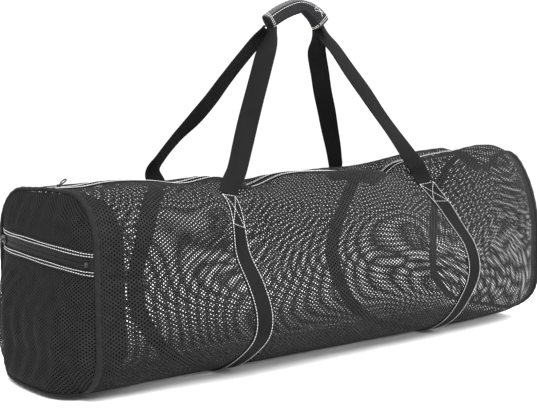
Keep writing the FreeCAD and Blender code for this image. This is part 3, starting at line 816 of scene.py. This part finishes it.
def end_piece(name, side, low, high, nodes):
    """The mesh of an end between two heights, each sloping as the pocket zip does."""
    ring = end_ring(side)[0]

    def keep(a, b):
        line = a * POCKET_FALL + pocket_arch(a)
        return inside_outline(ring, a, b) & (b > low + line) & (b < high + line)
    knit(name, end_surface(side), (-0.19, 0.19), (0.0, 0.42), keep, side > 0, nodes, END_CELL)


end_piece("left_end_mesh", -1, POCKET_Z + 0.012, 1.0, ("left_end_panel",))
end_piece("left_pocket_mesh", -1, -1.0, POCKET_Z - 0.012, ("left_pocket_panel",))
end_piece("right_end_mesh", 1, -1.0, 1.0, ("right_end_panel",))


def seam_binding(word, side):
    """The bound seam: a rounded roll of tape round the end, with a row of thread along it."""
    ring, s = end_ring(side, 420)
    normal = skin_normal(side * (HALF_LENGTH - 0.02), s)
    normal[:, 0] = 0
    normal = unit(normal)
    outward = np.broadcast_to([float(side), 0.0, 0.0], ring.shape)
    slip = 0.35 * MM * np.sin(np.arange(len(ring)) * 0.9)
    centre = ring + normal * (-0.6 * MM + slip[:, None]) + outward * (-0.4 * MM)
    roll = tube(centre, outward, normal, 5.6 * MM, 3.4 * MM, 14)
    piece(f"{word}_binding", roll, BINDING, "binding_tape", (f"{word}_seam_binding",))
    row = ring + normal * 2.3 * MM - outward * 3.4 * MM
    up = unit(normal * 0.8 - outward * 0.6)
    closed = (np.vstack([row, row[:1]]), np.vstack([up, up[:1]]))
    thread = stitch_row(*closed, 3.4 * MM, 2.8 * MM, 0.35 * MM)
    piece(f"{word}_binding_thread", thread, DARK_THREAD, "thread")


def allowance(word, side):
    """The mesh's folded edge inside an end seam, open at the zip: it shows as a darker band."""
    s = np.linspace(0.032, 2 * HALF_ROUND - 0.032, 300)
    s = np.where(s > HALF_ROUND, s - 2 * HALF_ROUND, s)
    x = side * (HALF_LENGTH - 0.012)
    path = skin(x, s, -2.2 * MM)
    across = np.broadcast_to([1.0, 0.0, 0.0], path.shape)
    strip = ribbon(path, across, skin_normal(x, s), 18 * MM, 1.0 * MM, columns=4)
    piece(f"{word}_seam_allowance", strip, HEM, "binding_tape")


for make in (seam_binding, allowance):
    make("left", -1)
    make("right", 1)


# ---- webbing bands

def band_slope(x, s):
    """The direction across a band, as the shell lies under it."""
    return unit(skin(x + BAND_HALF, s) - skin(x - BAND_HALF, s))


def edge_rows(x, s_from, s_to):
    """The two rows of stitches along a band's edges."""
    s = np.linspace(s_from, s_to, 260)
    return [stitch_row(skin(x + offset, s, BAND_LIFT + 1.15 * MM), skin_normal(x, s))
            for offset in (-STITCH_EDGE, STITCH_EDGE)]


def box_rows(x, s_top, way):
    """The stitched box with its cross, at a band's upper end."""
    length = LEFT_BOX if x < 0 else RIGHT_BOX
    corners = np.array([(-STITCH_EDGE, 0.004), (STITCH_EDGE, 0.002), (STITCH_EDGE, length),
                        (-STITCH_EDGE, length - 0.002)])
    rows = []
    for a, b in ((0, 1), (2, 3), (0, 2), (1, 3)):
        line = corners[a] + (corners[b] - corners[a]) * np.linspace(0, 1, 24)[:, None]
        px, ps = x + line[:, 0], s_top + way * line[:, 1]
        rows.append(stitch_row(skin(px, ps, BAND_LIFT + 1.25 * MM), skin_normal(px, ps)))
    return rows


def build_band(word, x):
    """A webbing band from its near upper end, under the bag and up to its far one."""
    near, far = BAND_ENDS[word]
    s = np.concatenate([np.linspace(near, -HALF_ROUND, 150), np.linspace(HALF_ROUND, far, 150)[1:]])
    path = skin(x, s, BAND_LIFT)
    path[:, 2] = np.maximum(path[:, 2], BAND_LOW.z + 1.0 * MM)
    strip = ribbon(path, band_slope(x, s), skin_normal(x, s), 2 * BAND_HALF, 2 * MM, columns=10)
    piece(f"{word}_band", strip, WEBBING, "webbing", (f"{word}_webbing_band",))
    rows = edge_rows(x, near - 0.003, -SEAM_S - 0.03) + edge_rows(x, far + 0.003, SEAM_S + 0.03)
    piece(f"{word}_band_thread", gather(rows), THREAD, "thread", (f"{word}_band_stitches",))
    rows = box_rows(x, near, -1) + box_rows(x, far, 1)
    piece(f"{word}_box_thread", gather(rows), THREAD, "thread", (f"{word}_box_stitches",))


for word, x in BANDS:
    build_band(word, x)


# ---- zips

def pocket_line(a, b, lift):
    """A point beside the pocket zip: a along it, towards the near side, and b above it."""
    return end_surface(-1)(-a, POCKET_Z - a * POCKET_FALL + pocket_arch(a) + b, lift)


def zip_path(line, a, b, lift):
    """A run beside a zip, with the directions across it and outwards."""
    path = line(a, b, lift)
    side = unit(line(a, b + 1 * MM, lift) - line(a, b - 1 * MM, lift))
    return path, side, unit(np.cross(along(path), side))


def zip_strip(name, line, half, edge_in, edge_out, lift, thick, material, slot, nodes=(), wave=0.0):
    """A flat strip beside a zip."""
    a = np.linspace(-half, half, int(2 * half / 0.004))
    middle = (edge_in + edge_out) / 2 + wave * np.sin(a * 2 * math.pi / 0.013)
    strip = ribbon(*zip_path(line, a, middle, lift), abs(edge_out - edge_in), thick, columns=3)
    piece(name, strip, material, slot, nodes)


def coil_teeth(line, half, side, lift):
    """One half of the coil: loops of nylon, each hooked over the zip's middle."""
    pitch, wire, sides = 1.5 * MM, 0.38 * MM, 5
    start = -half + (0.5 if side > 0 else 1.0) * pitch
    a = np.arange(start, half, pitch)
    shape = [(3.3, 0.2), (2.2, 1.9), (0.2, 1.7), (-0.5, 1.0), (0.6, 0.2), (2.6, -0.1)]
    loops = np.stack([line(a, side * b * MM, lift + up * MM) for b, up in shape], 1)
    angle = np.linspace(0, 2 * math.pi, sides, endpoint=False)
    ahead = unit(np.roll(loops, -1, 1) - np.roll(loops, 1, 1))
    x_axis = unit(line(a + 1e-4, 0, lift) - line(a - 1e-4, 0, lift))[:, None]
    out = unit(np.cross(ahead, np.broadcast_to(x_axis, ahead.shape)))
    ring = (loops[:, :, None] + wire * np.cos(angle)[None, None, :, None] * x_axis[:, :, None]
            + wire * np.sin(angle)[None, None, :, None] * out[:, :, None])
    one = loop_faces(len(shape), sides)
    faces = (one[None] + (np.arange(len(a)) * len(shape) * sides)[:, None, None]).reshape(-1, 4)
    points = ring.reshape(-1, 3)
    return points, faces, np.zeros((len(points), 2))


def zip_rows(line, half):
    """The four rows of stitches beside a zip, each swaying a little."""
    a = np.linspace(-half + 0.004, half - 0.004, 500)
    lift = 1.95 * MM
    rows = []
    for off in (-INNER_ROW, -OUTER_ROW, INNER_ROW, OUTER_ROW):
        sway = 0.35 * MM * np.sin(a * 61 + abs(off) * 900)
        path = line(a, off + sway, lift)
        across = zip_path(line, a, off, lift)[1]
        rows.append(stitch_row(path, unit(np.cross(along(path), across))))
    return rows


def build_zip(which, line, half, coil_half, words):
    """Tapes, hems, coils and stitches; line(a, b, lift) is b beside the zip, a along it."""
    for side, word in zip((-1, 1), words):
        zip_strip(f"{which}_tape_{word}", line, half, side * 0.25 * MM, side * 19 * MM,
                  TAPE_LIFT, 1.1 * MM, TAPE, "zip_tape", (f"{which}_zip_tape_{word}",))
        zip_strip(f"{which}_hem_{word}", line, half, side * 9.6 * MM, side * 20.5 * MM,
                  0.9 * MM, 1.6 * MM, HEM, "mesh_fabric", wave=0.25 * MM)
        teeth = coil_teeth(line, coil_half, side, TAPE_LIFT - 3.0 * MM)
        piece(f"{which}_coil_{word}", teeth, COIL, "zip_coil", (f"{which}_zip_coil_{word}",))
    rows = zip_rows(line, half)
    piece(f"{which}_zip_thread", gather(rows), THREAD, "thread", (f"{which}_zip_stitches",))


POCKET_HALF = (POCKET_HIGH.y - POCKET_LOW.y) / 2 + 0.0135
TAPE_LIFT = -0.9 * MM
build_zip("main", skin, HALF_LENGTH - 0.004, HALF_LENGTH - 0.013, ("front", "back"))
build_zip("pocket", pocket_line, POCKET_HALF, POCKET_HIGH.y, ("lower", "upper"))


def zip_tab(which, end, line, axis, sign):
    """A folded patch of binding over the end of a zip."""
    node = f"{which}_zip_{end}_tab"
    low, high = (corner[axis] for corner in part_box(node))
    middle, half = sign * (low + high) / 2, (high - low) / 2
    a = np.linspace(middle - half, middle + half, 8)
    strip = ribbon(*zip_path(line, a, 0, 0.6 * MM), 20 * MM, 2.6 * MM, columns=6,
                   crown=0.6 * MM)
    piece(f"{which}_{end}_tab", strip, BINDING, "binding_tape", (node,))


for which, line, axis, sign in (("main", skin, 0, 1), ("pocket", pocket_line, 1, -1)):
    for end in ("start", "end"):
        zip_tab(which, end, line, axis, sign)


def bevelled(name, node, body, width):
    """A CAD metal piece with its edges rounded."""
    source = frame["nodes"][node]
    item = bpy.data.objects.new(name, source.data.copy())
    bpy.context.scene.collection.objects.link(item)
    bevel = item.modifiers.new("round", "BEVEL")
    bevel.width = width
    bevel.segments = 3
    bevel.limit_method = "ANGLE"
    bevel.angle_limit = math.radians(35)
    item.data.polygons.foreach_set("use_smooth", np.ones(len(item.data.polygons), bool))
    return finish_piece(item, METAL, "dark_metal", body, (node,))


for which in ("main", "pocket"):
    bevelled(f"{which}_slider_body", f"{which}_zip_slider", f"{which}_slider", 0.45 * MM)
    bevelled(f"{which}_pull_ring", f"{which}_zip_pull", f"{which}_pull", 0.4 * MM)
    for end in ("start", "end"):
        bevelled(f"{which}_{end}_stop_cap", f"{which}_zip_{end}_stop", "bag", 0.35 * MM)


# ---- the end pocket's liner

def build_liner():
    """The pocket's cloth wall across the left end: a soft dish that hangs in gentle folds."""
    x0, x1 = LINER_LOW.x, LINER_HIGH.x
    ring, s = end_ring(-1, 200, inset=0.006)
    y, z = ring[:, 1], ring[:, 2]
    centre_z = (z.max() + z.min()) / 2
    steps = [(x0 + 0.012, 1.0), (x0 + 0.03, 0.985), (x0 + 0.055, 0.965), (x1 - 0.012, 0.93),
             (x1 - 0.003, 0.85), (x1, 0.7), (x1 + 0.002, 0.5), (x1 + 0.003, 0.3), (x1 + 0.003, 0.1),
             (x1 + 0.003, 0.01)]
    rows = [np.stack([ring[:, 0] + 2 * MM, y, z], -1)]
    for x, share in steps:
        ripple = 6.6 * MM * np.sin(s * 2 * math.pi / 0.06) * (1 - share)
        rows.append(np.stack([x - ripple, y * share, centre_z + (z - centre_z) * share], -1))
    points = np.vstack(rows)
    faces = grid_faces(len(rows), len(s), closed=True)
    item = piece("pocket_liner_cloth", (points, faces, points[:, 1:]), LINER, "liner_fabric",
                 ("pocket_liner",))
    item.modifiers.new("thick", "SOLIDIFY").thickness = 1.0 * MM


build_liner()


# ---- the handles

GRIP_SHAPE = [(-0.088, 0.627), (-0.077, 0.634), (-0.058, 0.645), (-0.037, 0.6545), (-0.016, 0.6615),
              (0.001, 0.663), (0.016, 0.658), (0.030, 0.650), (0.041, 0.641), (0.049, 0.632)]


def grip_frame(count):
    """The middle line of the sleeve, its forward direction, and its outward and depth axes."""
    line = spline(GRIP_SHAPE, count)
    path = np.stack([line[:, 0], np.zeros(count), line[:, 1]], -1)
    ahead = along(path)
    depth = np.broadcast_to([0.0, -1.0, 0.0], path.shape)
    out = unit(np.cross(depth, ahead))
    out = out * np.sign(out[:, 2:3])
    return path, ahead, out, depth


def loft(rings):
    """A closed tube through rows of points, with its ends closed by quads."""
    rings = np.asarray(rings)
    count, size = rings.shape[:2]
    faces = np.vstack([grid_faces(count, size, closed=True), end_caps(count, size)])
    around, length = lengths(rings[count // 2]), lengths(rings.mean(1))
    uv = np.stack(np.broadcast_arrays(around[None], length[:, None]), -1)
    return rings.reshape(-1, 3), faces, uv.reshape(-1, 2)


def sleeve(path, out, depth, profile, girth, crease):
    """Rings of a profile, given in (depth, outward) pairs, along the grip."""
    rings = []
    for i, k in enumerate(girth):
        flat = 1 + (k - 1) * 0.2
        rings.append([path[i] + depth[i] * d * flat
                      + out[i] * (o * k + crease * math.sin(i * 1.7 + d * 400)) for d, o in profile])
    return rings


# Profiles of the grip's layers in millimetres: towards the near side, and outwards.
BODY = [(9.0, -10), (9.8, -3), (9.5, 4), (8.0, 10), (3.5, 13.0), (-3.5, 13.2), (-8.2, 10),
        (-9.4, 3), (-9.2, -4), (-8.0, -11), (-3.5, -14.2), (4.5, -14)]
PILE_STRIP = [(8.4, 7.2), (8.4, 9.5), (6.0, 13.9), (1.0, 15.5), (-5.0, 14.9), (-8.6, 11.0),
              (-8.2, 10.2), (-4.5, 13.4), (1.0, 13.9), (5.0, 12.6)]
FLAP = [(9.4, -9.5), (10.6, -9.5), (11.2, 0), (10.6, 8.8), (9.4, 10.4), (9.0, 9.6), (9.8, 4),
        (10.0, -2)]
STITCH_RING = [(11.5, -9), (11.9, 0), (11.2, 9.4), (8.6, 12.4), (5, 15.5), (0, 16.2), (-6, 15.0),
               (-9.6, 10), (-10.0, 0), (-9.4, -9), (-4, -14.9), (5, -14.9)]


def build_grip():
    """The sleeve, its pile strip and its flap: slim past their middle, full at the right end."""
    path, _, out, depth = grip_frame(90)
    t = np.linspace(0, 1, len(path))
    girth = 1 - 0.18 * bell(t, 0.56, 0.07) + 0.03 * bell(t, 0.2, 0.15) + 0.42 * smooth((t - 0.6) / 0.35)
    layers = [("grip_sleeve", BODY, 0.25, GRIP, "grip_fabric", ("grip_cover", "grip_flap")),
              ("grip_pile", PILE_STRIP, 0.35, PILE, "loop_pile", ("grip_loop_strip",)),
              ("grip_front_flap", FLAP, 0.2, GRIP, "grip_fabric", ("grip_hook_strip",))]
    for name, profile, crease, material, slot, nodes in layers:
        rings = sleeve(path, out, depth, rounded(profile) * MM, girth, crease * MM)
        piece(name, loft(rings), material, slot, nodes, "handles")
    return path, out, depth, girth


def grip_threads(path, out, depth, girth):
    """The long row along the flap, the rows across both ends and the cross on the right."""
    flat = 1 + (girth - 1) * 0.2
    line = path + depth * (10.9 * MM) * flat[:, None] + out * (7.6 * MM) * girth[:, None]
    rows = [stitch_row(line[4:-12], depth[4:-12])]
    count = len(path)
    arc = rounded(STITCH_RING, 6) * MM
    for where in (3, 6, count - 8, count - 5):
        ring = np.array([path[where] + depth[where] * d * flat[where]
                         + out[where] * o * girth[where] for d, o in arc])
        up = unit(np.array([depth[where] * d + out[where] * o for d, o in arc]))
        rows.append(stitch_row(ring, up, 3.9 * MM, 3.3 * MM))
    cross = [((count - 26, 12.0), (count - 12, 3.0)), ((count - 26, 2.0), (count - 10, 12.5)),
             ((count - 27, 3.0), (count - 25, 12.0))]
    for (i0, o0), (i1, o1) in cross:
        t = np.linspace(0, 1, 20)
        i = np.round(i0 + (i1 - i0) * t).astype(int)
        o = (o0 + (o1 - o0) * t) * MM
        d = np.where(o > 9 * MM, 9.6 * MM, 11.4 * MM)
        line = path[i] + depth[i] * (d * flat[i])[:, None] + out[i] * (o * girth[i])[:, None]
        rows.append(stitch_row(line, unit(depth[i] + 0.3 * out[i]), 3.9 * MM, 3.4 * MM))
    piece("grip_thread", gather(rows), THREAD, "thread", ("grip_stitches",), "handles")


grip_threads(*build_grip())

# Each leg: free points from its band to the grip, the heading of its width in degrees and how far
# it is folded, in degrees.
LEGS = {
    "near_left": [(-0.235, -0.089, 0.353, -6, 0), (-0.212, -0.076, 0.393, -16, 0),
                  (-0.188, -0.062, 0.435, -28, 4), (-0.163, -0.048, 0.477, -40, 6),
                  (-0.136, -0.033, 0.520, -40, 8), (-0.110, -0.019, 0.564, -40, 30),
                  (-0.090, -0.010, 0.600, -40, 150), (-0.078, -0.005, 0.624, -30, 260)],
    "far_left": [(-0.283, 0.106, 0.348, 12, 0), (-0.270, 0.096, 0.376, 24, 4),
                 (-0.243, 0.082, 0.413, 20, 4), (-0.211, 0.068, 0.448, 8, 6),
                 (-0.183, 0.055, 0.483, 8, 6), (-0.158, 0.041, 0.521, 11, 10),
                 (-0.132, 0.026, 0.559, 12, 20), (-0.107, 0.012, 0.595, 10, 60),
                 (-0.090, 0.005, 0.618, 0, 220)],
    "near_right": [(0.250, -0.068, 0.350, -12, 0), (0.237, -0.064, 0.367, -8, 0),
                   (0.204, -0.053, 0.412, 3, 4), (0.172, -0.042, 0.455, 5, 6),
                   (0.140, -0.032, 0.499, 1, 8), (0.107, -0.021, 0.543, 3, 12),
                   (0.078, -0.010, 0.586, 8, 24), (0.062, -0.004, 0.608, 6, 90),
                   (0.050, -0.002, 0.630, 4, 240)],
    "far_right": [(0.216, 0.134, 0.328, 8, 0), (0.203, 0.122, 0.347, 4, 0),
                  (0.179, 0.104, 0.386, -4, 4), (0.153, 0.087, 0.426, -16, 4),
                  (0.127, 0.069, 0.465, -32, 4), (0.101, 0.052, 0.502, -40, 6),
                  (0.079, 0.036, 0.539, -40, 10), (0.056, 0.020, 0.576, -30, 30),
                  (0.041, 0.006, 0.604, -10, 120), (0.034, 0.003, 0.622, 0, 240)],
}


def build_leg(word, points):
    """Webbing from the top of its band to the grip, twisting and folding on the way."""
    side_word, band_word = word.split("_")
    sign = -1 if side_word == "near" else 1
    x = -BAND_X if band_word == "left" else BAND_X
    s_top = BAND_ENDS[band_word][0 if sign < 0 else 1]
    base = skin(x, s_top, BAND_LIFT + 0.3 * MM)
    below = skin(x, s_top + sign * 0.05, BAND_LIFT)
    across = band_slope(x, s_top)
    heading = math.degrees(math.atan2(across[1], across[0]))
    line = spline([(*below, heading, 0), (*base, heading, 0)] + points, 260)
    line = line[int(np.argmax(line[:, 2] >= base[2] - 0.0005)):]
    path = line[:, :3]
    heading, fold = np.radians(line[:, 3]), np.radians(line[:, 4])
    ahead = along(path)
    level = np.stack([np.cos(heading), np.sin(heading), np.zeros(len(path))], -1)
    side = unit(level - ahead * np.sum(level * ahead, 1, keepdims=True))
    normal = unit(np.cross(side, ahead))
    if np.mean(normal[:, 1]) * sign < 0:
        normal = -normal
    strip = ribbon(path, side, normal, 2 * BAND_HALF, 2 * MM, bend=fold, columns=14)
    item = piece(f"{word}_strap", strip, WEBBING, "webbing", (f"{word}_leg",), None)
    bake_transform(item)


def folded_webbing(word, offset):
    """The part of a handle inside the sleeve."""
    path, _, out, depth = grip_frame(60)
    strip = ribbon(path + depth * offset, out, depth, 22 * MM, 5 * MM, columns=6)
    piece(f"{word}_handle_core", strip, WEBBING, "webbing", (f"{word}_grip_webbing",), "handles")


for word, points in LEGS.items():
    build_leg(word, points)
folded_webbing("near", 3.2 * MM)
folded_webbing("far", -3.2 * MM)


# ---- floor, light and camera

def floor():
    size = 30.0
    corners = [(-size, -size, 0), (size, -size, 0), (size, size, 0), (-size, size, 0)]
    item = new_mesh("floor", corners, [[0, 1, 2, 3]], [(0, 0), (1, 0), (1, 1), (0, 1)])
    paint = Nodes("floor_paint", (0.93, 0.93, 0.93), 0.9, specular=0.1)
    item.data.materials.append(paint.material)


def area_light(name, place, aim, size, power):
    lamp = bpy.data.lights.new(name, "AREA")
    lamp.shape = "DISK"
    lamp.size = size
    lamp.energy = power
    item = bpy.data.objects.new(name, lamp)
    item.location = place
    item.rotation_euler = (Vector(aim) - Vector(place)).to_track_quat("-Z", "Y").to_euler()
    bpy.context.scene.collection.objects.link(item)


def world(strength):
    scene = bpy.context.scene
    scene.world = scene.world or bpy.data.worlds.new("studio")
    scene.world.use_nodes = True
    sky = scene.world.node_tree.nodes["Background"]
    sky.inputs["Color"].default_value = (1, 1, 1, 1)
    sky.inputs["Strength"].default_value = strength


def camera():
    """At the near left, a little above the bag and almost level."""
    heading, dip, roll = (math.radians(v) for v in (-39.6, 4.37, -0.58))
    data = bpy.data.cameras.new("camera")
    data.sensor_width = 36
    data.lens = 69.7
    data.clip_end = 100
    item = bpy.data.objects.new("camera", data)
    turn = (Matrix.Rotation(heading, 4, "Z") @ Matrix.Rotation(math.pi / 2 - dip, 4, "X")
            @ Matrix.Rotation(roll, 4, "Z"))
    item.matrix_world = Matrix.Translation((-1.3576, -1.5327, 0.4233)) @ turn
    bpy.context.scene.collection.objects.link(item)
    bpy.context.scene.camera = item


camera()
floor()
world(1.1)
area_light("key", (-1.6, -1.6, 2.4), (0, 0, 0.2), 2.6, 170)
area_light("fill", (1.8, -1.2, 1.6), (0, 0, 0.2), 2.6, 90)
bpy.context.scene.view_settings.view_transform = "Standard"
